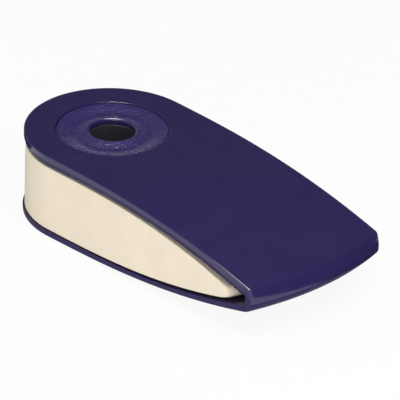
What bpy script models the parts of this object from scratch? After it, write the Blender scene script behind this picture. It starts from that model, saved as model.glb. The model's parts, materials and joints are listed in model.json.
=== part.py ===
"""Swivel eraser in a two-shell plastic sleeve, modelled as separate named pieces.

A wedge of eraser turns on a hollow hub between an upper and a lower shell. The shells meet
only at the nose, so both long sides are open and the eraser swings out of either one. The
faces of the shells and of the eraser are turned about the pivot, which keeps them clear of
each other through the whole turn.
"""
import math

import bmesh
import bpy

MM = 0.001

# Sleeve, in millimetres
BODY_RADIUS = 15.0  # round hub end, and half of the width
THICKNESS = 15.3  # over both shells at the hub
FLAT_RADIUS = 12.7  # flat part of each shell around the pivot
NOSE_REACH = 51.3  # pivot to the foremost edge of the nose
NOSE_HEIGHT = 4.2  # to which the shells close on an arc from the flat part to the nose
CORNER_RADIUS = 0.7  # plan rounding where a long side meets the nose
LOWER_CORNER_RADIUS = 1.2  # the same at the bottom edge
UPPER_WALL = 1.9  # upper shell
LOWER_WALL = 0.95  # lower shell
NOSE_WALL = 1.5  # closed end of the sleeve
NOSE_ROLL = 0.6  # upper shell's rounding over the nose
NOSE_SETBACK = 0.5  # upper shell's end face draws back by this much above the seam
NOSE_LEAN = 1.5  # lower shell's end face draws back by this much below the seam
NOSE_BOW = 1.5  # power of the height by which the end faces draw back
EDGE_ROUND = 0.35  # outer edges of the shells
LOWER_END_ROUND = 0.5  # bottom edge of the lower shell's end face
CAVITY_FLAT_RADIUS = 15.2  # flat part of the room between the shells
CAVITY_END_HEIGHT = 1.4  # clear height at the closed end
CAVITY_ROUND = 0.9  # upper corner at the closed end
CAVITY_LOWER_ROUND = 0.3  # lower corner at the closed end
SEAM_DROP = 0.6  # nose seam below the middle of the thickness
LIP_WIDTH = 0.55  # locating lip inside the nose seam
LIP_HEIGHT = 0.45
LIP_ROOT = 0.3  # depth of the lip in the lower shell
LIP_SETBACK = 0.1  # lip behind the closed end
LIP_END_SETBACK = 1.0  # ends of the lip behind the long sides

# Hub, in millimetres
HUB_RADIUS = 9.4  # dished cap that shows in each shell
RIM_STEP = 0.2  # cap rim below the shell's face
RIM_THICKNESS = 0.9
DISH_DEPTH = 0.62  # hollow of the ring between rim and bead
BORE_RADIUS = 4.0  # through-hole
BEAD_ROUND = 0.6  # rounded bead around the through-hole
BEAD_TURN = 60.0  # degrees above the bead's outer side where the dish begins
COLLAR = 1.15  # depth of the upper cap's own wall in the through-hole
RIM_LEDGE = 1.6  # width of the cap's rim that rests in the shell
SEAT_THICKNESS = 1.1  # shoulder in the shell that carries the cap's rim
BOSS_WALL = 1.35  # ring on the inside of the shell around the cap
SPIGOT_WALL = 0.95  # inner tube, on the lower cap
SOCKET_WALL = 1.3  # outer tube, on the upper cap, which is the axle
SNAP_DEPTH = 3.6  # snap bead below the upper face
SNAP_HEIGHT = 0.55
SNAP_FLAT = 0.4  # length of the bead's crest
SNAP_RAMP = 0.3  # length of each of the bead's flanks

# Eraser, in millimetres
ERASER_INSET = 0.3  # side faces behind the shells' edges
ERASER_TIP = 1.4  # thickness at the tip
ERASER_TIP_DROP = 0.25  # tip below the middle of the room between the shells
ERASER_TIP_GAP = 3.0  # tip to the closed end of the sleeve
ERASER_FLAT_SETBACK = 0.6  # flat part of the eraser's faces ends before that of the room
ERASER_CORNER = 4.0  # plan rounding of the tip
ERASER_EDGE_ROUND = 0.8
ERASER_TIP_ROUND = 0.4

# Clearances, in millimetres
FIT_GAP = 0.25  # between pieces that are fixed to each other
RUN_GAP = 0.3  # between the eraser and what it turns on

# Roundings take at most this share of the wall that they are on
ROUND_LIMIT = 0.9

# Points closer than this after a cut are one point
WELD = 0.003

# Facets
HUB_STEPS = 32  # round end of a plan outline
SIDE_STEPS = 9
CORNER_STEPS = 3
END_STEPS = 10
ROUND_STEPS = 3
WALL_STEPS = 3
FACE_RINGS = 7
SWEEP_STEPS = 9
TURN_STEPS = 48
CAVITY_TURN_STEPS = 90


def sweep_radius(run, drop):
    """Radius of an arc that leaves a flat face level and drops by so much over a run."""
    return (run ** 2 + drop ** 2) / (2 * drop)


# Sizes that follow
HALF = THICKNESS / 2
SEAM_Z = -SEAM_DROP
SWEEP_RADIUS = sweep_radius(NOSE_REACH - FLAT_RADIUS, HALF - NOSE_HEIGHT / 2)
MID_Z = (LOWER_WALL - UPPER_WALL) / 2
CAVITY_REACH = NOSE_REACH - NOSE_WALL
CAVITY_HALF = (THICKNESS - UPPER_WALL - LOWER_WALL) / 2
CAVITY_DROP = CAVITY_HALF - CAVITY_END_HEIGHT / 2
CAVITY_SWEEP_RADIUS = sweep_radius(CAVITY_REACH - CAVITY_FLAT_RADIUS, CAVITY_DROP)
RIM_Z = HALF - RIM_STEP
SEAT_Z = RIM_Z - RIM_THICKNESS
BOSS_Z = SEAT_Z - FIT_GAP - SEAT_THICKNESS
NECK_RADIUS = HUB_RADIUS - RIM_LEDGE
CAP_HOLE_RADIUS = HUB_RADIUS + FIT_GAP
BOSS_RADIUS = CAP_HOLE_RADIUS + BOSS_WALL
SPIGOT_RADIUS = BORE_RADIUS + SPIGOT_WALL
SOCKET_BORE = SPIGOT_RADIUS + RUN_GAP
SOCKET_RADIUS = SOCKET_BORE + SOCKET_WALL
COLLAR_Z = HALF - COLLAR
SNAP_Z = HALF - SNAP_DEPTH
ERASER_HALF = CAVITY_HALF - RUN_GAP
ERASER_REACH = CAVITY_REACH - ERASER_TIP_GAP
ERASER_FLAT_RADIUS = CAVITY_FLAT_RADIUS - ERASER_FLAT_SETBACK
ERASER_UPPER_TIP = ERASER_TIP / 2 - ERASER_TIP_DROP
ERASER_LOWER_TIP = ERASER_TIP / 2 + ERASER_TIP_DROP
PIVOT_X = (BODY_RADIUS - NOSE_REACH) / 2


def swept_height(r, half, flat_radius, bend):
    """Height above the middle of a face that is flat, then bends down on an arc."""
    past_flat = max(r - flat_radius, 0.0)
    return half - bend + math.sqrt(bend ** 2 - past_flat ** 2)


def shell_face(r):
    return swept_height(r, HALF, FLAT_RADIUS, SWEEP_RADIUS)


def cavity_face(r):
    return swept_height(r, CAVITY_HALF, CAVITY_FLAT_RADIUS, CAVITY_SWEEP_RADIUS)


def arc(centre, radius, start, stop, steps):
    """Points on an arc, angles in radians, both ends included."""
    turn = [start + (stop - start) * i / steps for i in range(steps + 1)]
    return [(centre[0] + radius * math.cos(a), centre[1] + radius * math.sin(a)) for a in turn]


def plan_outline(half_width, reach, corner):
    """Plan about the pivot as (x, y, share), where share runs from 0 on a side to 1 on the end."""
    corner_y = half_width - corner
    corner_x = math.sqrt((reach - corner) ** 2 - corner_y ** 2)
    end_angle = math.atan2(corner_y, corner_x)
    quarter = math.pi / 2
    hub = arc((0, 0), half_width, quarter, 3 * quarter, HUB_STEPS)
    along = [corner_x * i / SIDE_STEPS for i in range(1, SIDE_STEPS)]
    near_corner = arc((corner_x, -corner_y), corner, -quarter, -end_angle, CORNER_STEPS)
    end = arc((0, 0), reach, -end_angle, end_angle, END_STEPS)[1:-1]
    far_corner = [(x, -y) for x, y in reversed(near_corner)]
    shares = [i / CORNER_STEPS for i in range(CORNER_STEPS + 1)]
    points = [(x, y, 0.0) for x, y in hub]
    points += [(x, -half_width, 0.0) for x in along]
    points += [(x, y, t) for (x, y), t in zip(near_corner, shares)]
    points += [(x, y, 1.0) for x, y in end]
    points += [(x, y, t) for (x, y), t in zip(far_corner, reversed(shares))]
    points += [(x, half_width, 0.0) for x in reversed(along)]
    return points


def rounded_rim(half_width, reach, corner, face, side_round, end_round, end_lean=0.0):
    """Loops that turn a wall, which may lean back at the end, over into a face, from the wall upwards."""
    loops = []
    for i in range(ROUND_STEPS + 1):
        side_turn = math.pi / 2 * i / ROUND_STEPS
        end_turn = end_lean + (math.pi / 2 - end_lean) * i / ROUND_STEPS
        width = half_width - side_round * (1 - math.cos(side_turn))
        end = reach - end_round * (math.cos(end_lean) - math.cos(end_turn))
        side_drop = side_round * (1 - math.sin(side_turn))
        end_drop = end_round * (1 - math.sin(end_turn))
        loop = []
        for x, y, share in plan_outline(width, end, corner):
            drop = side_drop + (end_drop - side_drop) * share
            loop.append((x, y, face(math.hypot(x, y)) - drop))
        loops.append(loop)
    return loops


def nose_rim(seam, setback, corner, end_round):
    """Rim of a shell, whose end face draws back from the nose seam."""
    reach = NOSE_REACH - setback
    lean = math.atan(NOSE_BOW * setback / (shell_face(reach) - seam))
    return rounded_rim(BODY_RADIUS, reach, corner, shell_face, EDGE_ROUND, end_round, lean)


def end_wall(seam, rim, setback, corner):
    """Loops from the nose seam to a rim above it, over an end face that draws back on the way."""
    loops = []
    for i in range(WALL_STEPS):
        t = i / WALL_STEPS
        reach = NOSE_REACH - setback * t ** NOSE_BOW
        outline = plan_outline(BODY_RADIUS, reach, CORNER_RADIUS + (corner - CORNER_RADIUS) * t)
        loops.append([(x, y, seam + (top[2] - seam) * t) for (x, y, _), top in zip(outline, rim)])
    return loops


def face_rings(rim, face, inner_share):
    """Loops that carry a face from its rim in towards the pivot."""
    loops = []
    for i in range(1, FACE_RINGS + 1):
        share = 1 - (1 - inner_share) * i / FACE_RINGS
        loops.append([(x * share, y * share, face(math.hypot(x, y) * share)) for x, y, _ in rim])
    return loops


def flipped(loops):
    return [[(x, y, -z) for x, y, z in loop] for loop in reversed(loops)]


def new_object(name, bm):
    """Turn a closed bmesh in millimetres into an object standing on the pivot."""
    bmesh.ops.triangulate(bm, faces=[f for f in bm.faces if len(f.verts) == 4])
    bmesh.ops.recalc_face_normals(bm, faces=bm.faces)
    bmesh.ops.scale(bm, vec=(MM, MM, MM), verts=bm.verts)
    mesh = bpy.data.meshes.new(name)
    bm.to_mesh(mesh)
    bm.free()
    piece = bpy.data.objects.new(name, mesh)
    piece.location = (PIVOT_X * MM, 0, HALF * MM)
    bpy.context.collection.objects.link(piece)
    return piece


def lofted(name, loops):
    """Closed body through loops of equal length, with flat ends."""
    bm = bmesh.new()
    rows = [[bm.verts.new(point) for point in loop] for loop in loops]
    count = len(rows[0])
    for low, high in zip(rows, rows[1:]):
        for i in range(count):
            j = (i + 1) % count
            bm.faces.new((low[i], low[j], high[j], high[i]))
    bm.faces.new(rows[0])
    bm.faces.new(rows[-1])
    return new_object(name, bm)


def turned(name, profile, steps):
    """Closed body from a closed profile of (radius, height), turned about the pivot."""
    bm = bmesh.new()
    rings = []
    for r, z in profile:
        if r == 0:
            rings.append([bm.verts.new((0, 0, z))] * steps)
            continue
        angles = [2 * math.pi * i / steps for i in range(steps)]
        rings.append([bm.verts.new((r * math.cos(a), r * math.sin(a), z)) for a in angles])
    for ring, after in zip(rings, rings[1:] + rings[:1]):
        for i in range(steps):
            j = (i + 1) % steps
            corners = list(dict.fromkeys((ring[i], ring[j], after[j], after[i])))
            if len(corners) > 2:
                bm.faces.new(corners)
    return new_object(name, bm)


def nose_bar(name, inner, outer, low, high, half_angle):
    """Bar of rectangular section that follows the nose's arc."""
    bm = bmesh.new()
    rows = []
    for i in range(END_STEPS + 1):
        angle = half_angle * (2 * i / END_STEPS - 1)
        corners = ((inner, low), (outer, low), (outer, high), (inner, high))
        rows.append([bm.verts.new((r * math.cos(angle), r * math.sin(angle), z)) for r, z in corners])
    for row, after in zip(rows, rows[1:]):
        for i in range(4):
            j = (i + 1) % 4
            bm.faces.new((row[i], row[j], after[j], after[i]))
    bm.faces.new(rows[0])
    bm.faces.new(rows[-1])
    return new_object(name, bm)


def combine(piece, tool, operation):
    """Add, cut or keep with another body, which is then removed."""
    tool.hide_render = True
    tool.display_type = "WIRE"
    step = piece.modifiers.new(operation, "BOOLEAN")
    step.operation = operation
    step.solver = "EXACT"
    step.object = tool
    bpy.context.view_layer.update()
    evaluated = piece.evaluated_get(bpy.context.evaluated_depsgraph_get())
    mesh = bpy.data.meshes.new_from_object(evaluated)
    piece.modifiers.clear()
    piece.data = mesh
    mesh.name = piece.name
    bpy.data.objects.remove(tool)
    bm = bmesh.new()
    bm.from_mesh(mesh)
    bmesh.ops.remove_doubles(bm, verts=bm.verts, dist=WELD * MM)
    bmesh.ops.dissolve_degenerate(bm, edges=bm.edges, dist=WELD * MM)
    bmesh.ops.triangulate(bm, faces=bm.faces)
    bm.to_mesh(mesh)
    bm.free()


def finish(piece, name, colour, roughness):
    """Own material, and smooth shading between sharp edges."""
    material = bpy.data.materials.new(name)
    material.use_nodes = True
    shader = material.node_tree.nodes["Principled BSDF"]
    shader.inputs["Base Color"].default_value = (*colour, 1.0)
    shader.inputs["Roughness"].default_value = roughness
    shader.inputs["Metallic"].default_value = 0.0
    piece.data.materials.clear()
    piece.data.materials.append(material)
    piece.data.shade_smooth()
    piece.data.set_sharp_from_angle(angle=math.radians(30))


def cavity_side(side, wall, corner):
    """Outline of the room above (1) or below (-1) its middle, from the pivot to the closed end."""
    round_from = CAVITY_REACH - corner
    sweep_from = max(CAVITY_FLAT_RADIUS, BOSS_RADIUS)
    swept = [sweep_from + (round_from - sweep_from) * i / SWEEP_STEPS for i in range(SWEEP_STEPS + 1)]
    points = [(0, side * BOSS_Z), (BOSS_RADIUS, side * BOSS_Z), (BOSS_RADIUS, side * (HALF - wall))]
    points += [(r, MID_Z + side * cavity_face(r)) for r in swept]
    end_z = cavity_face(round_from)
    for i in range(1, ROUND_STEPS + 1):
        turn = math.pi / 2 * i / ROUND_STEPS
        below = corner * (1 - math.cos(turn))
        points.append((round_from + corner * math.sin(turn), MID_Z + side * (end_z - below)))
    return points


def cavity():
    """Room between the shells: bosses at the hub, swept faces and a rounded closed end."""
    lower_corner = min(CAVITY_LOWER_ROUND, ROUND_LIMIT * CAVITY_END_HEIGHT / 2)
    upper_corner = min(CAVITY_ROUND, ROUND_LIMIT * (CAVITY_END_HEIGHT - lower_corner))
    upper = cavity_side(1, UPPER_WALL, upper_corner)
    lower = cavity_side(-1, LOWER_WALL, lower_corner)
    return turned("cavity", upper + lower[::-1], CAVITY_TURN_STEPS)


def cap_hole(side):
    """Stepped hole for a hub cap, above (1) or below (-1)."""
    outside = HALF + UPPER_WALL
    seat = SEAT_Z - FIT_GAP
    throat = NECK_RADIUS + FIT_GAP
    inside = BOSS_Z - UPPER_WALL
    profile = [(0, outside), (CAP_HOLE_RADIUS, outside), (CAP_HOLE_RADIUS, seat)]
    profile += [(throat, seat), (throat, inside), (0, inside)]
    return turned("cap_hole", [(r, side * z) for r, z in profile], TURN_STEPS)


def seam_lip(name, gap):
    """Lip inside the nose seam, or with a gap the room for it, which is open to the inside."""
    inner = CAVITY_REACH + LIP_SETBACK
    outer = inner + LIP_WIDTH + gap
    if gap:
        inner = CAVITY_REACH - LIP_SETBACK
    half_angle = math.asin((BODY_RADIUS - LIP_END_SETBACK + gap) / NOSE_REACH)
    low = SEAM_Z - FIT_GAP - LIP_ROOT
    high = SEAM_Z + LIP_HEIGHT + gap
    return nose_bar(name, inner, outer, low, high, half_angle)


def upper_shell():
    """Upper plate with its dished-cap hole, boss and turned-down nose."""
    seam = SEAM_Z + FIT_GAP / 2
    roll = min(NOSE_ROLL, ROUND_LIMIT * (NOSE_HEIGHT / 2 - seam))
    rim = nose_rim(seam, NOSE_SETBACK, CORNER_RADIUS, roll)
    wall = end_wall(seam, rim[0], NOSE_SETBACK, CORNER_RADIUS)
    rings = face_rings(rim[-1], shell_face, BORE_RADIUS / BODY_RADIUS)
    shell = lofted("upper_shell", wall + rim + rings)
    combine(shell, cavity(), "DIFFERENCE")
    combine(shell, cap_hole(1), "DIFFERENCE")
    combine(shell, seam_lip("lip_room", FIT_GAP), "DIFFERENCE")
    finish(shell, "gloss_violet_upper", (0.034, 0.022, 0.107), 0.22)


def lower_shell():
    """Lower plate, which carries the nose of the upper one on its end."""
    seam = FIT_GAP / 2 - SEAM_Z
    rim = nose_rim(seam, NOSE_LEAN, LOWER_CORNER_RADIUS, LOWER_END_ROUND)
    wall = end_wall(seam, rim[0], NOSE_LEAN, LOWER_CORNER_RADIUS)
    rings = face_rings(rim[-1], shell_face, BORE_RADIUS / BODY_RADIUS)
    shell = lofted("lower_shell", flipped(wall + rim + rings))
    combine(shell, cavity(), "DIFFERENCE")
    combine(shell, cap_hole(-1), "DIFFERENCE")
    combine(shell, seam_lip("lip", 0.0), "UNION")
    finish(shell, "gloss_violet_lower", (0.034, 0.022, 0.107), 0.22)


def cap_face():
    """Outer side of a hub cap, from its rim over the dish and the bead into the bore."""
    bead_centre = (BORE_RADIUS + BEAD_ROUND, HALF - BEAD_ROUND)
    bead = arc(bead_centre, BEAD_ROUND, math.radians(BEAD_TURN), math.pi, 2 * ROUND_STEPS)
    dish_end_r, dish_end_z = bead[0]
    points = [(HUB_RADIUS, SEAT_Z)]
    for i in range(SWEEP_STEPS):
        t = i / SWEEP_STEPS
        hollow = DISH_DEPTH * 4 * t * (1 - t)
        points.append((HUB_RADIUS + (dish_end_r - HUB_RADIUS) * t, RIM_Z + (dish_end_z - RIM_Z) * t - hollow))
    return points + bead


def snap_ring(r, crest_half, flank):
    """Trapezoid outline of the snap bead or of its groove, from top to bottom."""
    crest = r + SNAP_HEIGHT
    heights = (crest_half + flank, crest_half, -crest_half, -crest_half - flank)
    return list(zip((r, crest, crest, r), (SNAP_Z + h for h in heights)))


def upper_hub():
    """Upper cap with the socket tube, which is the axle that the eraser turns on."""
    tube_end = -BOSS_Z + RUN_GAP
    profile = cap_face()
    profile += [(BORE_RADIUS, COLLAR_Z), (SOCKET_BORE, COLLAR_Z)]
    profile += snap_ring(SOCKET_BORE, SNAP_FLAT / 2 + FIT_GAP, SNAP_RAMP)
    profile += [(SOCKET_BORE, tube_end), (SOCKET_RADIUS, tube_end), (SOCKET_RADIUS, BOSS_Z)]
    profile += [(NECK_RADIUS, BOSS_Z), (NECK_RADIUS, SEAT_Z)]
    finish(turned("upper_hub", profile, TURN_STEPS), "grained_violet_upper", (0.045, 0.034, 0.14), 0.5)


def lower_hub():
    """Lower cap with the spigot tube, whose bead snaps into the socket."""
    spigot_end = COLLAR_Z - FIT_GAP
    profile = [(r, -z) for r, z in cap_face()]
    profile += [(BORE_RADIUS, spigot_end), (SPIGOT_RADIUS, spigot_end)]
    profile += snap_ring(SPIGOT_RADIUS, SNAP_FLAT / 2, SNAP_RAMP)
    profile += [(SPIGOT_RADIUS, -BOSS_Z), (NECK_RADIUS, -BOSS_Z), (NECK_RADIUS, -SEAT_Z)]
    finish(turned("lower_hub", profile, TURN_STEPS), "grained_violet_lower", (0.045, 0.034, 0.14), 0.5)


def eraser_side(tip):
    """Loops of one half of the wedge, which closes to a height at the tip."""
    bend = sweep_radius(ERASER_REACH - ERASER_FLAT_RADIUS, ERASER_HALF - tip)

    def face(r):
        return swept_height(r, ERASER_HALF, ERASER_FLAT_RADIUS, bend)

    half_width = BODY_RADIUS - ERASER_INSET
    tip_round = min(ERASER_TIP_ROUND, ROUND_LIMIT * ERASER_UPPER_TIP)
    rim = rounded_rim(half_width, ERASER_REACH, ERASER_CORNER, face, ERASER_EDGE_ROUND, tip_round)
    return rim + face_rings(rim[-1], face, BORE_RADIUS / BODY_RADIUS)


def eraser():
    """Wedge with a bore for the axle and a recess in each face for a boss."""
    halves = flipped(eraser_side(ERASER_LOWER_TIP)) + eraser_side(ERASER_UPPER_TIP)
    wedge = lofted("eraser", [[(x, y, z + MID_Z) for x, y, z in loop] for loop in halves])
    bore = SOCKET_RADIUS + RUN_GAP
    recess = BOSS_RADIUS + RUN_GAP
    floor = BOSS_Z - RUN_GAP
    profile = [(0, HALF), (recess, HALF), (recess, floor), (bore, floor)]
    profile += [(r, -z) for r, z in reversed(profile)]
    combine(wedge, turned("bore", profile, TURN_STEPS), "DIFFERENCE")
    finish(wedge, "cream_eraser", (0.80, 0.71, 0.57), 0.75)


def main():
    for leftover in list(bpy.data.objects):
        bpy.data.objects.remove(leftover)
    upper_shell()
    lower_shell()
    upper_hub()
    lower_hub()
    eraser()


main()
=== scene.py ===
"""Looks of a swivel eraser in a split plastic sleeve.

Fine closed meshes stand in for the five solids. Each one is a loft of loops that go around the plan or
the hub and follow the piece's section until they come back to the first. Procedural finishes, a soft
studio and the photograph's camera follow.
"""
import json
import math

import bmesh
import bpy
import numpy as np
from mathutils import Matrix, Vector


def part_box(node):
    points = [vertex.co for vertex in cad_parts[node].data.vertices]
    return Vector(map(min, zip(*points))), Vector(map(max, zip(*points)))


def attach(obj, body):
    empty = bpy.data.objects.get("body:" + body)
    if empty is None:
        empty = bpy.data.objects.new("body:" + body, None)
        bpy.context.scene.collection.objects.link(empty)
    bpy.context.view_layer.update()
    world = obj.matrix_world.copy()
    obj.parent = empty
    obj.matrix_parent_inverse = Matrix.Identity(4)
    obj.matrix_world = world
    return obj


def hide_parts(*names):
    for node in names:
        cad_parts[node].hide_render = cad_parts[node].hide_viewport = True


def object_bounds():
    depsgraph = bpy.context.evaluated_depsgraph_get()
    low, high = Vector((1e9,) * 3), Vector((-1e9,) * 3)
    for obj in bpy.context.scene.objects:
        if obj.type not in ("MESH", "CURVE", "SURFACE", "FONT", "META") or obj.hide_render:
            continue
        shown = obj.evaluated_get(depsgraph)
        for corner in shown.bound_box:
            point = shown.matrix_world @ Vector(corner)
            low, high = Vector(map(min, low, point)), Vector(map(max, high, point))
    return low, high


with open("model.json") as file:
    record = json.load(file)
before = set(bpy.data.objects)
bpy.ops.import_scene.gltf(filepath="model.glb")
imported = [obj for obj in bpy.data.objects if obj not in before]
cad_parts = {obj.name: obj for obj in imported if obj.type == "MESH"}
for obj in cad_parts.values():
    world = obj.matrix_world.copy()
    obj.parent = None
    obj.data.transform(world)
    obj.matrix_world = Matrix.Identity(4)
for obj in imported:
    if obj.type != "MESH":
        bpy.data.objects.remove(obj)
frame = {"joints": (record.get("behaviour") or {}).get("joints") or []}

CAD_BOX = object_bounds()
MM = 0.001
PIVOT = Vector(frame["joints"][0]["pos_m"])


def extent(node):
    """Lowest and highest corner of a solid, in millimetres from the pivot."""
    low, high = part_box(node)
    return (low - PIVOT) / MM, (high - PIVOT) / MM


# Sizes read from the solids, in millimetres about the pivot on the middle of the thickness
SHELL_HIGH = extent("upper_shell")[1]
ERASER_HIGH = extent("eraser")[1]
BODY_RADIUS = SHELL_HIGH.y
NOSE_REACH = SHELL_HIGH.x
HALF = SHELL_HIGH.z
HUB_RADIUS = extent("upper_hub")[1].y
ERASER_WIDTH = ERASER_HIGH.y
ERASER_WEAR = 1.2  # the tip is worn back by this much
ERASER_REACH = ERASER_HIGH.x - ERASER_WEAR

# Sleeve, in millimetres
UPPER_FACE = (10.4, 1.90)  # radius of the flat disc, and height of the face at the nose's reach
LOWER_FACE = (11.8, 2.02)
UPPER_WALL = 1.9
LOWER_WALL = 0.95
CORNER = 0.6  # plan rounding of the nose at the seam, at its top and at its bottom
UPPER_CORNER = 0.7
LOWER_CORNER = 0.6
NOSE_ROLL = 0.6  # rounding of the upper plate over the nose
NOSE_SETBACK = 0.75  # of the upper plate's end face, above the seam
SETBACK_EASE = 0.4  # by which it is less at the corners
NOSE_LEAN = 1.4  # set-back of the lower plate's end face, below the seam
LEAN_EASE = 0.3  # by which it is less at the corners
NOSE_BOW = 2.2  # power of the height by which the end faces draw back
EDGE_ROUND = 0.14  # outer edges along the sides
END_ROUND = 0.8  # bottom edge of the lower plate's end face
NOSE_WALL = 1.5  # closed end of the sleeve
CAVITY_FLAT_RADIUS = 15.2  # flat part of the room between the plates
CAVITY_END_HEIGHT = 1.4  # clear height at the closed end
CAVITY_ROUND = 0.9  # upper and lower corner at the closed end
CAVITY_LOWER_ROUND = 0.3
SEAM_Z = -0.6  # nose seam, from the middle of the thickness
SEAM_GAP = 0.03
SEAM_ROUND = 0.03
UPPER_BEVEL = (0.22, 0.75)  # inward and up, along the lower edge of the upper plate
LOWER_BEVEL = (0.1, 0.1)

# Hub, in millimetres
RIM_STEP = 0.2  # cap's rim below the plate
RIM_ROUND = 0.12
RIM_GAP = 0.09  # between the rim and the plate
RIM_THICKNESS = 0.9
RIM_LEDGE = 1.6  # width of the rim that rests in the plate
HOLE_ROUND = 0.1  # edge of the plate around the cap
SEAT_THICKNESS = 1.1  # shoulder in the plate that carries the rim
BOSS_WALL = 1.35  # ring inside the plate around the cap
FIT_GAP = 0.25  # between pieces that are fixed to each other
DISH_LOW_RADIUS = 6.2
DISH_FALL = ((0.0, 0.10), (0.3, 0.18), (0.65, 0.22), (1.0, 0.0))  # share of the way in, and slope there
BEAD_DROP = 0.24  # bead around the hole, below the plate
BEAD_ROUND = 0.4
BEAD_TURN = 76.0  # degrees of the bead's arc at which it meets the dish
POLISH_TURN = 120.0  # from here on the bead is polished
BORE_RADIUS = 3.9
COLLAR = 1.15  # depth of the upper cap's own wall in the hole
SPIGOT_ROUND = 0.35  # lip of the lower cap's tube
SPIGOT_WALL = 0.95
SOCKET_WALL = 1.3  # upper cap's tube, which is the axle
RUN_GAP = 0.3  # between the eraser and what it turns on

# Eraser, in millimetres
ERASER_UPPER_TIP = 0.6  # heights of the tip above and below the middle of its room
ERASER_LOWER_TIP = 1.15
ERASER_FLAT_RADIUS = 13.0
ERASER_CORNER = 1.8
ERASER_EDGE = 0.2
ERASER_TIP_ROUND = 0.7
ERASER_DROP = 0.18  # it lies lower than the middle of its room

# Fineness of the meshes
HUB_STEPS = 96
SIDE_STEP = 1.5  # millimetres
SIDE_REST = 3  # steps from the last place on a side to its corner
CORNER_STEPS = 8
NOSE_STEPS = 44
ROUND_STEPS = 8
BEAD_STEPS = 24
WALL_STEPS = 8
TUBE_STEPS = 7
FACE_RINGS = 22
INNER_RINGS = 14
TURN_STEPS = 192
DISH_STEPS = 28
LEAN_TRIES = 8
SUPPORT = 0.06  # millimetres from a rounding to the loop that keeps the flat beside it flat
END_STEP = 0.002  # millimetres on each side of where an open side turns into the closed end
SHARP_ANGLE = 16.0  # degrees

# Sizes that follow
MID_Z = (LOWER_WALL - UPPER_WALL) / 2
CAVITY_REACH = NOSE_REACH - NOSE_WALL
CAVITY_HALF = HALF - (UPPER_WALL + LOWER_WALL) / 2
ERASER_HALF = CAVITY_HALF - RUN_GAP
HOLE_RADIUS = HUB_RADIUS + FIT_GAP
CAP_RADIUS = HOLE_RADIUS - RIM_GAP
RIM_Z = HALF - RIM_STEP
SEAT_Z = RIM_Z - RIM_THICKNESS
BOSS_Z = SEAT_Z - FIT_GAP - SEAT_THICKNESS
BOSS_RADIUS = HOLE_RADIUS + BOSS_WALL
NECK_RADIUS = HUB_RADIUS - RIM_LEDGE
SPIGOT_RADIUS = BORE_RADIUS + SPIGOT_WALL
SOCKET_BORE = SPIGOT_RADIUS + RUN_GAP
SOCKET_RADIUS = SOCKET_BORE + SOCKET_WALL
COLLAR_Z = HALF - COLLAR

# Finishes, which vary between two values each, with colours in linear light and heights in millimetres
VIOLET = ((0.0235, 0.0155, 0.0820), (0.0265, 0.0175, 0.0890))
VIOLET_ROUGHNESS = (0.11, 0.19)
VIOLET_IOR = 1.56
SCRATCH_ROUGHNESS = 0.06  # added where a plate is scratched
SCRATCH_STRETCH = (0.18, 2.6, 1.0)  # scratches run along the plate
SCRATCH_RANGE = (0.62, 0.74)  # noise that counts as a scratch
SCRATCH_DEPTH = 0.0006
PEEL_HEIGHT = 0.004
GRAIN_SHADE_AND_LIGHT = ((0.021, 0.014, 0.098), (0.042, 0.033, 0.158))  # pits painted darker and peaks lighter: painted shade in the pits and painted light on the peaks
GRAIN_RANGE = (0.38, 0.62)
GRAIN_ROUGHNESS = (0.21, 0.27)
GRAIN_SHEEN = 0.05  # by which pits are rougher and peaks smoother
GRAIN_HEIGHT = 0.105
TUBE = ((0.034, 0.031, 0.042), (0.044, 0.041, 0.054))
TUBE_ROUGHNESS = (0.3, 0.42)
TUBE_STREAK = (1, 1, 0.2)  # streaks run along the tube
TUBE_HEIGHT = 0.01
CREAM = ((0.815, 0.715, 0.565), (0.86, 0.765, 0.612))
SPECK = (0.62, 0.53, 0.40)
SPECK_SHARE = 0.35
SPECK_RANGE = (0.64, 0.74)
CREAM_ROUGHNESS = (0.62, 0.8)
CREAM_HEIGHT = 0.03
FLOOR_COLOUR = 0.85
FLOOR_ROUGHNESS = 0.9
BOARD_COLOUR = 0.01

# Camera, as the photograph was taken
SENSOR_WIDTH = 36  # millimetres
CAMERA_LENS = 635.80
CAMERA_PLACE = Vector((755.58, -738.86, 568.72))  # from the pivot
CAMERA_BACK = Vector((0.61929, -0.62323, 0.47756))
CAMERA_RIGHT = Vector((0.69920, 0.71446, 0.02570))
CAMERA_CLIP = (0.1, 20)  # metres

# Light of the room, and soft boxes by direction, distance, width and height in millimetres, and watts
ROOM_LIGHT = 0.6
ROOM_REFLECTION = 0.45  # in polished faces, and towards the dark side of the room
DARK_REFLECTION = 0.07
DARK_SIDE = (-0.1, 0.85, 0.52)
DARK_EDGE = (0.35, 0.75)  # cosines between which the room turns dark
KEY_LAMP = ((90, -30, 150), 177, (80, 80), 0.13)
SIDE_LAMP = ((0.45, -0.88, 0.12), 700, (420, 160), 1.5)
TOP_LAMP = ((-0.06, -0.02, 1), 700, (300, 260), 9.0)

# Floor, and what polished faces reflect outside the picture, in millimetres
FLOOR_SIZE = 6000.0
FLOOR_DROP = 0.02
FLOOR_GLOW = 0.92  # share of plain white that the floor shows to the camera
FLOOR_MIRROR = 1.0  # and to polished faces
BOARD_WIDTH = 1200.0
NOSE_BOARD = ((0.8, 0.6), 67.0, 120.0)  # direction and distance from the middle, height
FAR_BOARD = ((0.45, 0.89), 29.0, 8.0)
END_BOARD = ((-0.85, 0.53), 34.0, 11.0)
BACK_BOARD = ((-0.70, 0.71), 500.0, 85.0)
BACK_GLOW = 1.0
# Painted shadow: a dim sheet under the object, seen only in polished faces
PAINTED_SHADOW_MARGIN = 12.0  # of the painted shadow, which stands for the shaded ground close to the object
PAINTED_SHADOW_SHARES = (0.25, 0.5, 0.75)
PAINTED_SHADOW_GLOW = 0.25


def place(point):
    """Metres in the frame from millimetres about the pivot."""
    return PIVOT + Vector(point) * MM


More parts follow.
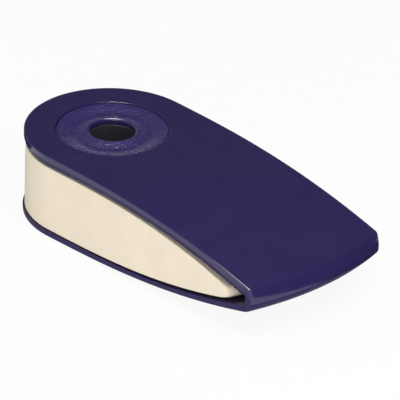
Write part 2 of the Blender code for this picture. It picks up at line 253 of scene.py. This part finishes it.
def swept(r, half, flat, reach, end_half):
    """Height of a face that is flat, then bends down on an arc to a height at its reach."""
    run = reach - flat
    drop = half - end_half
    bend = (run ** 2 + drop ** 2) / (2 * drop)
    past = np.maximum(np.asarray(r, float) - flat, 0.0)
    return half - bend + np.sqrt(bend ** 2 - past ** 2)


def shell_face(r, side):
    """Height of a plate's outer face, above (1) or below (-1)."""
    flat, nose = UPPER_FACE if side > 0 else LOWER_FACE
    return swept(r, HALF, flat, NOSE_REACH, nose)


def cavity_face(r, corner):
    """Height of the room above its middle, with its corner rounded at the closed end."""

    def flat(at):
        return swept(at, CAVITY_HALF, CAVITY_FLAT_RADIUS, CAVITY_REACH, CAVITY_END_HEIGHT / 2)

    start = CAVITY_REACH - corner
    past = np.clip(np.asarray(r, float) - start, 0.0, corner)
    rounded = float(flat(start)) - corner + np.sqrt(corner ** 2 - past ** 2)
    return np.where(np.asarray(r) > start, rounded, flat(r))


def corner_place(width, reach, corner):
    """Centre of the plan rounding where a long side meets the end."""
    y = width - corner
    return math.sqrt((reach - corner) ** 2 - y ** 2), y


def side_shares(width, reach, corner, stops):
    """Places along a long side as shares of its length, with extra ones at given distances from the hub."""
    length = corner_place(width, reach, corner)[0]
    places = list(np.arange(SIDE_STEP, min([length] + stops[:1]) - SIDE_STEP / 2, SIDE_STEP))
    places += stops
    last = places[-1]
    places += [last + (length - last) * i / SIDE_REST for i in range(1, SIDE_REST)]
    return [x / length for x in places]


class Plan:
    """Stations around a plan outline that keep their order when the outline shrinks."""

    def __init__(self, shares):
        """Take the places along a long side, and say how far each station belongs to the end."""
        self.shares = np.array(shares)
        count = len(shares)
        corner = np.linspace(0, 1, CORNER_STEPS + 1)
        self.share = np.concatenate([
            np.zeros(HUB_STEPS + 1 + count), corner, np.ones(NOSE_STEPS - 1), corner[::-1], np.zeros(count),
        ])

    def loop(self, width, reach, corner):
        """Stations on the outline of a given half width, reach and corner rounding."""
        x, y = corner_place(width, reach, corner)
        end = math.atan2(y, x)
        hub = np.linspace(math.pi / 2, 3 * math.pi / 2, HUB_STEPS + 1)
        near = x * self.shares
        turn = np.linspace(-math.pi / 2, -end, CORNER_STEPS + 1)
        nose = np.linspace(-end, end, NOSE_STEPS + 1)[1:-1]
        corner_x = x + corner * np.cos(turn)
        corner_y = -y + corner * np.sin(turn)
        xs = np.concatenate([
            width * np.cos(hub), near, corner_x, reach * np.cos(nose), corner_x[::-1], near[::-1],
        ])
        ys = np.concatenate([
            width * np.sin(hub), -width + 0 * near, corner_y,
            reach * np.sin(nose), -corner_y[::-1], width + 0 * near,
        ])
        return np.stack([xs, ys], 1)


def radius(points):
    """Distances from the pivot."""
    return np.hypot(points[:, 0], points[:, 1])


def raised(points, z):
    """Loop in space from plan points and heights."""
    return np.column_stack([points, np.broadcast_to(z, len(points))])


def towards(points, r):
    """Points moved along their spokes to given distances from the pivot."""
    return points * (np.broadcast_to(r, len(points)) / radius(points))[:, None]


def circle_loop(points, r, z):
    """Loop on a level circle about the pivot, on the spokes of plan points."""
    return raised(towards(points, r), z)


def arc(centre, r, start, stop, steps):
    """Points of a profile along an arc."""
    turn = np.linspace(start, stop, steps + 1)
    return [(centre[0] + r * math.cos(a), centre[1] + r * math.sin(a)) for a in turn]


def rim_loops(plan, width, reach, corner, face, side_round, end_round, lean=0.0, ease=0.0):
    """Loops that turn a wall over into a face, from the wall upwards, eased forward at the corners."""
    loops = []
    for i in range(ROUND_STEPS + 1):
        side_turn = math.pi / 2 * i / ROUND_STEPS
        end_turn = lean + (math.pi / 2 - lean) * i / ROUND_STEPS
        side = width - side_round * (1 - math.cos(side_turn))
        end = reach - end_round * (math.cos(lean) - math.cos(end_turn))
        side_drop = side_round * (1 - math.sin(side_turn))
        end_drop = end_round * (1 - math.sin(end_turn))
        points = plan.loop(side, end, corner)
        points += (plan.loop(side, end + ease, corner) - points) * (points[:, 1:] / width) ** 2
        drop = side_drop + (end_drop - side_drop) * plan.share
        loops.append(raised(points, face(radius(points)) - drop))
    return loops


def end_lean(face, setback, end_round, seam):
    """Lean of a drawn-back end face where its rounding begins."""
    lean = 0.0
    for _ in range(LEAN_TRIES):
        height = float(face(NOSE_REACH - setback)) - end_round * (1 - math.sin(lean)) - seam
        lean = math.atan(NOSE_BOW * setback / height)
    return lean


def face_loops(rim, face, inner, rings):
    """Loops that carry a face from its rim in to a circle about the pivot."""
    outer = radius(rim)
    loops = [raised(towards(rim[:, :2], outer - SUPPORT), face(outer - SUPPORT))]
    for i in range(1, rings + 1):
        r = outer + (inner - outer) * i / rings
        loops.append(raised(towards(rim[:, :2], r), face(r)))
    return loops


def ring_mesh(name, loops, material_of=None):
    """Closed tube of quads through loops that come back to the first one."""
    count = len(loops[0])
    points = np.concatenate(loops) * MM + np.array(PIVOT)
    faces = []
    rows = len(loops)
    for row in range(rows):
        low = row * count
        high = (row + 1) % rows * count
        for i in range(count):
            j = (i + 1) % count
            faces.append((low + i, low + j, high + j, high + i))
    mesh = bpy.data.meshes.new(name)
    mesh.from_pydata(points.tolist(), [], faces)
    if material_of:
        mesh.polygons.foreach_set("material_index", np.repeat(np.array(material_of, dtype=np.int32), count))
    bm = bmesh.new()
    bm.from_mesh(mesh)
    bmesh.ops.recalc_face_normals(bm, faces=bm.faces)
    bm.to_mesh(mesh)
    bm.free()
    mesh.shade_smooth()
    mesh.set_sharp_from_angle(angle=math.radians(SHARP_ANGLE))
    piece = bpy.data.objects.new(name, mesh)
    bpy.context.collection.objects.link(piece)
    return piece


def shell_loops(side):
    """Section loops of a shell, above (1) or below (-1), as if it were the upper one."""
    corner, bevel = CAVITY_ROUND, UPPER_BEVEL
    setback, ease, rim_corner, end_round = NOSE_SETBACK, SETBACK_EASE, UPPER_CORNER, NOSE_ROLL
    if side < 0:
        corner, bevel = CAVITY_LOWER_ROUND, LOWER_BEVEL
        setback, ease, rim_corner, end_round = NOSE_LEAN, LEAN_EASE, LOWER_CORNER, END_ROUND
    seam = side * SEAM_Z + SEAM_GAP / 2

    def outside(r):
        return shell_face(r, side)

    def inside(r):
        return side * MID_Z + cavity_face(r, corner)

    turns = [math.pi / 2 * i / ROUND_STEPS for i in range(ROUND_STEPS + 1)]
    stops = [CAVITY_REACH - corner * (1 - math.sin(t)) for t in turns]
    stops[-1] -= END_STEP
    stops.append(CAVITY_REACH + END_STEP)
    stops = [math.sqrt(r ** 2 - BODY_RADIUS ** 2) for r in stops]
    plan = Plan(side_shares(BODY_RADIUS, NOSE_REACH, CORNER, stops))
    base = plan.loop(BODY_RADIUS, NOSE_REACH, CORNER)
    base_r = radius(base)
    closed = base_r > CAVITY_REACH

    # Outside, from the cap's hole to the rim and down the wall
    lean = end_lean(outside, setback, end_round, seam)
    reach = NOSE_REACH - setback
    rim = rim_loops(plan, BODY_RADIUS, reach, rim_corner, outside, EDGE_ROUND, end_round, lean, ease)
    top = face_loops(rim[-1], outside, HOLE_RADIUS + HOLE_ROUND, FACE_RINGS)
    loops = []
    for turn in turns[:-1]:
        r = HOLE_RADIUS + HOLE_ROUND * (1 - math.cos(turn))
        loops.append(circle_loop(base, r, HALF - HOLE_ROUND * (1 - math.sin(turn))))
    loops += top[::-1] + rim[::-1]
    foot_z = np.where(closed, seam + SEAM_ROUND, inside(base_r) + bevel[1])
    share = SUPPORT / np.maximum(rim[0][:, 2] - foot_z, 3 * SUPPORT)
    for step in np.linspace(1, 0, WALL_STEPS):
        up = (share + (1 - 2 * share) * step)[:, None]
        points = base + (rim[0][:, :2] - base) * up ** NOSE_BOW
        loops.append(raised(points, foot_z + (rim[0][:, 2] - foot_z) * up[:, 0]))
    loops.append(raised(base, foot_z))

    # Under edge, or the seam's face where the sleeve is closed
    inset = plan.loop(BODY_RADIUS - bevel[0], NOSE_REACH - bevel[0], CORNER)
    inset_r = radius(inset)
    inner_r = np.minimum(inset_r, CAVITY_REACH)
    open_edge = raised(inset, inside(inner_r))
    seam_edge = raised(towards(base, base_r - SEAM_ROUND), seam)
    loops.append(np.where(closed[:, None], seam_edge, open_edge))
    near_r = inset_r - SUPPORT
    near_edge = raised(towards(inset, near_r), inside(np.minimum(near_r, CAVITY_REACH)))
    end_edge = raised(towards(base, CAVITY_REACH), seam)
    loops.append(np.where(closed[:, None], end_edge, near_edge))

    # Inside, up the closed end and in to the boss
    for turn in reversed(turns):
        back = corner * (1 - math.sin(turn))
        r = np.where(closed, CAVITY_REACH - back, inner_r - SUPPORT * 2 - back)
        loops.append(raised(towards(base, r), inside(r)))
    last = radius(loops[-1])
    for i in range(1, INNER_RINGS + 1):
        r = last + (BOSS_RADIUS - last) * i / INNER_RINGS
        loops.append(raised(towards(base, r), inside(r)))
    throat = NECK_RADIUS + FIT_GAP
    seat = SEAT_Z - FIT_GAP
    for r, z in ((BOSS_RADIUS, BOSS_Z), (throat, BOSS_Z), (throat, seat), (HOLE_RADIUS, seat)):
        loops.append(circle_loop(base, r, z))
    return [loop * np.array([1, 1, side]) for loop in loops]


def cap_profile():
    """Outer side of a hub cap, from its rim over the dish and the bead into the bore.

    Gives the profile's points and the finish of each stretch: 0 polished, 1 grained.
    """
    turn = math.radians(BEAD_TURN)
    bead_middle = (BORE_RADIUS + BEAD_ROUND, HALF - BEAD_DROP - BEAD_ROUND)
    bead = arc(bead_middle, BEAD_ROUND, turn, math.pi, BEAD_STEPS)
    rim = arc((CAP_RADIUS - RIM_ROUND, RIM_Z - RIM_ROUND), RIM_ROUND, 0, math.pi / 2, ROUND_STEPS)
    start = np.array(rim[-1])
    share = np.linspace(0, 1, DISH_STEPS + 1)
    slope = np.interp(share, *np.array(DISH_FALL).T)
    run = (start[0] - DISH_LOW_RADIUS) / DISH_STEPS
    fall = np.cumsum((slope[1:] + slope[:-1]) / 2 * run)
    dish = [(start[0] - run * (i + 1), start[1] - fall[i]) for i in range(DISH_STEPS)]

    # Up from the lowest ring to the bead, along a curve that meets both smoothly
    low = np.array(dish[-1])
    top = np.array(bead[0])
    knee = np.array((top[0] + (top[1] - low[1]) * math.tan(turn), low[1]))
    for t in np.linspace(0, 1, ROUND_STEPS + 1)[1:-1]:
        dish.append(tuple(low * (1 - t) ** 2 + knee * 2 * t * (1 - t) + top * t ** 2))
    points = [(CAP_RADIUS, SEAT_Z)] + rim + dish + bead
    rough_bead = round(BEAD_STEPS * (POLISH_TURN - BEAD_TURN) / (180 - BEAD_TURN))
    finish = [0] * len(rim) + [1] * (1 + len(dish) + rough_bead) + [0] * (len(bead) - rough_bead)
    return points, finish


def hub_mesh(name, profile, finish):
    """Piece turned about the pivot from a closed profile."""
    turn = np.linspace(0, 2 * math.pi, TURN_STEPS, endpoint=False)
    spokes = np.stack([np.cos(turn), np.sin(turn)], 1)
    return ring_mesh(name, [raised(spokes * r, z) for r, z in profile], finish)


def upper_hub():
    """Upper cap with its collar in the hole and the outer tube."""
    points, finish = cap_profile()
    tube_end = -BOSS_Z + RUN_GAP
    inner = [
        (BORE_RADIUS, COLLAR_Z), (SOCKET_BORE, COLLAR_Z), (SOCKET_BORE, tube_end), (SOCKET_RADIUS, tube_end),
        (SOCKET_RADIUS, BOSS_Z), (NECK_RADIUS, BOSS_Z), (NECK_RADIUS, SEAT_Z),
    ]
    return hub_mesh("upper_cap", points + inner, finish + [0] * len(inner))


def lower_hub():
    """Lower cap with the inner tube, whose bore has a finish of its own: 2."""
    points, finish = cap_profile()
    points = [(r, -z) for r, z in points]
    spigot_end = COLLAR_Z - FIT_GAP / 2
    lip_z = spigot_end - SPIGOT_ROUND
    bore = [(BORE_RADIUS, z) for z in np.linspace(points[-1][1], lip_z, TUBE_STEPS + 1)[1:-1]]
    bore += arc((BORE_RADIUS + SPIGOT_ROUND, lip_z), SPIGOT_ROUND, math.pi, math.pi / 2, ROUND_STEPS)
    outer = [
        (SPIGOT_RADIUS, spigot_end), (SPIGOT_RADIUS, -BOSS_Z), (NECK_RADIUS, -BOSS_Z), (NECK_RADIUS, -SEAT_Z),
    ]
    finish[-1] = 2
    return hub_mesh("lower_cap", points + bore + outer, finish + [2] * len(bore) + [0] * len(outer))


def eraser_side(plan, side, tip, recess):
    """Loops of one half of the wedge, above (1) or below (-1), which closes to a height at its tip."""

    def face(r):
        return swept(r, ERASER_HALF, ERASER_FLAT_RADIUS, ERASER_REACH, tip)

    rim = rim_loops(plan, ERASER_WIDTH, ERASER_REACH, ERASER_CORNER, face, ERASER_EDGE, ERASER_TIP_ROUND)
    height = rim[0][:, 2]
    share = SUPPORT / np.maximum(np.abs(height), 3 * SUPPORT)
    loops = [raised(rim[0][:, :2], height - np.abs(height) * share)] + rim
    loops += face_loops(rim[-1], face, recess, FACE_RINGS)
    return [loop * np.array([1, 1, side]) + np.array([0, 0, MID_Z - ERASER_DROP]) for loop in loops]


def eraser():
    """Wedge with a bore for the axle and a recess on each side for the plates' bosses."""
    plan = Plan(side_shares(ERASER_WIDTH, ERASER_REACH, ERASER_CORNER, []))
    recess = BOSS_RADIUS + RUN_GAP
    bore = SOCKET_RADIUS + RUN_GAP
    upper = eraser_side(plan, 1, ERASER_UPPER_TIP, recess)
    lower = eraser_side(plan, -1, ERASER_LOWER_TIP, recess)
    base = upper[0][:, :2]
    floor_z = BOSS_Z - RUN_GAP
    through = ((recess, floor_z), (bore, floor_z), (bore, -floor_z), (recess, -floor_z))
    loops = upper + [circle_loop(base, r, z) for r, z in through] + lower[::-1]
    return ring_mesh("eraser_wedge", loops)


def new_material(name):
    """Material with a Principled shader, ready for its nodes."""
    material = bpy.data.materials.new(name)
    material.use_nodes = True
    return material, material.node_tree, material.node_tree.nodes["Principled BSDF"]


def add(tree, kind, inputs=None, **settings):
    """Node with its settings, and its inputs given as values or as sockets to link."""
    made = tree.nodes.new("ShaderNode" + kind)
    for key, value in settings.items():
        setattr(made, key, value)
    for key, value in (inputs or {}).items():
        if isinstance(value, bpy.types.NodeSocket):
            tree.links.new(value, made.inputs[key])
        else:
            made.inputs[key].default_value = value
    return made


def maths(tree, operation, *values):
    """Result of a sum on values or sockets."""
    return add(tree, "Math", dict(enumerate(values)), operation=operation).outputs[0]


def noise(tree, scale, detail=2.0, roughness=0.5, stretch=(1, 1, 1)):
    """Noise in the piece's own millimetres."""
    spot = add(tree, "TexCoord").outputs["Object"]
    size = [s / MM for s in stretch]
    spot = add(tree, "VectorMath", {0: spot, 1: size}, operation="MULTIPLY").outputs[0]
    inputs = {"Vector": spot, "Scale": scale, "Detail": detail, "Roughness": roughness}
    return add(tree, "TexNoise", inputs).outputs["Fac"]


def spread(tree, value, low, high, start=0.3, stop=0.7):
    """Value from noise brought to a range."""
    inputs = {"Value": value, "From Min": start, "From Max": stop, "To Min": low, "To Max": high}
    return add(tree, "MapRange", inputs).outputs[0]


def mix_colours(tree, value, first, second):
    """Mix of two colours, given as values or as sockets."""
    made = tree.nodes.new("ShaderNodeMix")
    made.data_type = "RGBA"
    tree.links.new(value, made.inputs[0])
    for slot, colour in ((6, first), (7, second)):
        if isinstance(colour, bpy.types.NodeSocket):
            tree.links.new(colour, made.inputs[slot])
        else:
            made.inputs[slot].default_value = (*colour, 1)
    return made.outputs[2]


def bump(tree, height, distance, strength, normal=None):
    """Bumped normal from a height, over another bump where one is given."""
    inputs = {"Height": height, "Distance": distance * MM, "Strength": strength}
    if normal:
        inputs["Normal"] = normal
    return add(tree, "Bump", inputs).outputs["Normal"]


def finish_shader(tree, shader, colour, rough, normal):
    """Link a finish to its shader."""
    tree.links.new(colour, shader.inputs["Base Color"])
    tree.links.new(rough, shader.inputs["Roughness"])
    tree.links.new(normal, shader.inputs["Normal"])


def gloss_violet():
    """Polished moulded plastic with faint mottling, handling scratches and a trace of orange peel."""
    material, tree, shader = new_material("gloss_violet")
    mottle = spread(tree, noise(tree, scale=0.25, detail=3), 0, 1)
    scratch = noise(tree, scale=1.1, detail=4, roughness=0.6, stretch=SCRATCH_STRETCH)
    scratch = spread(tree, scratch, 0, 1, *SCRATCH_RANGE)
    smear = spread(tree, noise(tree, scale=0.12, detail=4, roughness=0.6), *VIOLET_ROUGHNESS)
    rough = maths(tree, "MULTIPLY_ADD", scratch, SCRATCH_ROUGHNESS, smear)
    peel = bump(tree, noise(tree, scale=0.9), PEEL_HEIGHT, strength=0.5)
    fine = bump(tree, scratch, SCRATCH_DEPTH, strength=0.6, normal=peel)
    finish_shader(tree, shader, mix_colours(tree, mottle, *VIOLET), rough, fine)
    shader.inputs["IOR"].default_value = VIOLET_IOR
    return material


def grained_violet():
    """Fine spark-eroded grain with slightly worn, shinier peaks, and painted shade in its pits and painted
    light on its peaks.
    """
    material, tree, shader = new_material("grained_violet")
    grain = noise(tree, scale=2.3, detail=1)
    coarse = noise(tree, scale=0.35)
    # painted shade in the pits and painted light on the peaks, following the grain's height
    colour = mix_colours(tree, spread(tree, grain, 0, 1, *GRAIN_RANGE), *GRAIN_SHADE_AND_LIGHT)
    sheen = spread(tree, grain, GRAIN_SHEEN, -GRAIN_SHEEN)
    rough = maths(tree, "ADD", sheen, spread(tree, coarse, *GRAIN_ROUGHNESS))
    finish_shader(tree, shader, colour, rough, bump(tree, grain, GRAIN_HEIGHT, strength=1.0))
    return material


def dark_tube():
    """Bare inside of the hollow axle."""
    material, tree, shader = new_material("dark_tube")
    streaks = spread(tree, noise(tree, scale=0.6, detail=3, stretch=TUBE_STREAK), 0, 1)
    rough = spread(tree, noise(tree, scale=0.5), *TUBE_ROUGHNESS)
    skin = bump(tree, noise(tree, scale=1.5), TUBE_HEIGHT, strength=0.4)
    finish_shader(tree, shader, mix_colours(tree, streaks, *TUBE), rough, skin)
    return material


def cream_rubber():
    """Matt eraser with soft mottling, a powdery skin and faint specks."""
    material, tree, shader = new_material("cream_rubber")
    mottle = spread(tree, noise(tree, scale=0.18, detail=4, roughness=0.6), 0, 1)
    specks = spread(tree, noise(tree, scale=1.6, detail=3, roughness=0.7), 0, SPECK_SHARE, *SPECK_RANGE)
    cream = mix_colours(tree, specks, mix_colours(tree, mottle, *CREAM), SPECK)
    skin = noise(tree, scale=2.2, detail=4, roughness=0.65)
    rough = spread(tree, skin, *CREAM_ROUGHNESS)
    finish_shader(tree, shader, cream, rough, bump(tree, skin, CREAM_HEIGHT, strength=0.5))
    return material


def show(piece, node, body, materials):
    """Stand a fine mesh for a solid."""
    for material in materials:
        piece.data.materials.append(material)
    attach(piece, body)
    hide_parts(node)


def dress():
    """Make the five pieces with their finishes."""
    shell = [gloss_violet()]
    hub = shell + [grained_violet(), dark_tube()]
    show(ring_mesh("upper_plate", shell_loops(1)), "upper_shell", "sleeve", shell)
    show(ring_mesh("lower_plate", shell_loops(-1)), "lower_shell", "sleeve", shell)
    show(upper_hub(), "upper_hub", "sleeve", hub)
    show(lower_hub(), "lower_hub", "sleeve", hub)
    show(eraser(), "eraser", "eraser", [cream_rubber()])


def floor():
    """Plain white floor that shows white to the camera and keeps the shadow."""
    mesh = bpy.data.meshes.new("floor")
    bm = bmesh.new()
    bmesh.ops.create_grid(bm, x_segments=1, y_segments=1, size=FLOOR_SIZE / 2 * MM)
    bm.to_mesh(mesh)
    bm.free()
    ground = bpy.data.objects.new("floor", mesh)
    ground.location = (0, 0, CAD_BOX[0].z - FLOOR_DROP * MM)
    bpy.context.collection.objects.link(ground)
    material, tree, shader = new_material("white_floor")
    shader.inputs["Base Color"].default_value = (FLOOR_COLOUR, FLOOR_COLOUR, FLOOR_COLOUR, 1)
    shader.inputs["Roughness"].default_value = FLOOR_ROUGHNESS
    path = add(tree, "LightPath").outputs
    mirrored = maths(tree, "MAXIMUM", path["Is Glossy Ray"], path["Is Transmission Ray"])
    mirrored = maths(tree, "MULTIPLY", mirrored, FLOOR_MIRROR)
    share = maths(tree, "MULTIPLY_ADD", path["Is Camera Ray"], FLOOR_GLOW, mirrored)
    glow = add(tree, "Emission", {"Strength": 1.0})
    mix = add(tree, "MixShader", {0: share, 1: shader.outputs[0], 2: glow.outputs[0]})
    tree.links.new(mix.outputs[0], tree.nodes["Material Output"].inputs["Surface"])
    mesh.materials.append(material)


def reflected(name, spots, face, glow):
    """Sheet that only shows in polished faces, from black to white by its glow."""
    mesh = bpy.data.meshes.new(name)
    mesh.from_pydata(spots, [], [face])
    sheet = bpy.data.objects.new(name, mesh)
    bpy.context.collection.objects.link(sheet)
    material, tree, shader = new_material(name)
    shader.inputs["Base Color"].default_value = (BOARD_COLOUR, BOARD_COLOUR, BOARD_COLOUR, 1)
    shader.inputs["Roughness"].default_value = 1.0
    shader.inputs["Emission Color"].default_value = (1, 1, 1, 1)
    shader.inputs["Emission Strength"].default_value = glow
    mesh.materials.append(material)
    sheet.visible_camera = False
    sheet.visible_diffuse = False
    sheet.visible_shadow = False


def board(name, stand, glow=0.0):
    """Upright board, dark or white, as in a photographer's set."""
    towards_it, distance, height = stand
    middle = Vector(towards_it).normalized()
    along = Vector((-middle.y, middle.x)) * BOARD_WIDTH / 2
    low = CAD_BOX[0].z - FLOOR_DROP * MM
    ends = [middle * distance - along, middle * distance + along]
    spots = [(p.x * MM, p.y * MM, z) for z in (low, low + height * MM) for p in ends]
    reflected(name, spots, (0, 1, 3, 2), glow)


def painted_shadow_sheet():
    """Painted shadow: dim sheet under the object that polished faces show in place of the shaded ground close
    to it.
    """
    loop = Plan(PAINTED_SHADOW_SHARES).loop(BODY_RADIUS + PAINTED_SHADOW_MARGIN, NOSE_REACH + PAINTED_SHADOW_MARGIN, PAINTED_SHADOW_MARGIN)
    low = (CAD_BOX[0].z - PIVOT.z) / MM - FLOOR_DROP / 2
    spots = [place(point) for point in raised(loop, low)]
    reflected("painted_shadow_sheet", spots, tuple(range(len(spots))), PAINTED_SHADOW_GLOW)


def surroundings():
    """Set out what polished faces reflect."""
    board("nose_board", NOSE_BOARD)
    board("far_board", FAR_BOARD)
    board("end_board", END_BOARD)
    board("back_board", BACK_BOARD, BACK_GLOW)
    # dim sheet under the object: painted shadow in polished faces
    painted_shadow_sheet()


def lamp(name, stand, lights=True, shines=True):
    """Soft box that looks at the object, and may only light it or only shine in its polished edges."""
    direction, distance, size, watts = stand
    data = bpy.data.lights.new(name, "AREA")
    data.shape = "RECTANGLE"
    data.size = size[0] * MM
    data.size_y = size[1] * MM
    data.energy = watts
    box = bpy.data.objects.new(name, data)
    back = Vector(direction).normalized()
    box.location = back * distance * MM
    box.rotation_mode = "QUATERNION"
    box.rotation_quaternion = (-back).to_track_quat("-Z", "Y")
    box.visible_diffuse = lights
    box.visible_glossy = shines
    bpy.context.collection.objects.link(box)


def studio():
    """Bright surroundings that light the object and stay dark on one side in its polished faces."""
    world = bpy.data.worlds.new("studio")
    bpy.context.scene.world = world
    world.use_nodes = True
    tree = world.node_tree
    way = add(tree, "TexCoord").outputs["Generated"]
    facing = add(tree, "VectorMath", {0: way, 1: DARK_SIDE}, operation="DOT_PRODUCT").outputs["Value"]
    mirrored = spread(tree, facing, ROOM_REFLECTION, DARK_REFLECTION, *DARK_EDGE)
    glossy = add(tree, "LightPath").outputs["Is Glossy Ray"]
    strength = spread(tree, glossy, ROOM_LIGHT, mirrored, 0, 1)
    tree.nodes["Background"].inputs["Color"].default_value = (1, 1, 1, 1)
    tree.links.new(strength, tree.nodes["Background"].inputs["Strength"])


def light():
    """Set up the room and the three soft boxes."""
    studio()
    lamp("key", KEY_LAMP, shines=False)
    lamp("side", SIDE_LAMP)
    lamp("top", TOP_LAMP, lights=False)


def camera():
    """Camera at the photograph's angle and distance."""
    data = bpy.data.cameras.new("camera")
    data.sensor_width = SENSOR_WIDTH
    data.lens = CAMERA_LENS
    data.clip_start, data.clip_end = CAMERA_CLIP
    eye = bpy.data.objects.new("camera", data)
    back = CAMERA_BACK.normalized()
    right = CAMERA_RIGHT.normalized()
    up = back.cross(right)
    turn = Matrix((right, up, back)).transposed().to_4x4()
    eye.matrix_world = Matrix.Translation(place(CAMERA_PLACE)) @ turn
    bpy.context.collection.objects.link(eye)
    bpy.context.scene.camera = eye


def main():
    """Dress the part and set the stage."""
    bpy.context.scene.view_settings.view_transform = "Standard"
    dress()
    floor()
    surroundings()
    light()
    camera()


main()
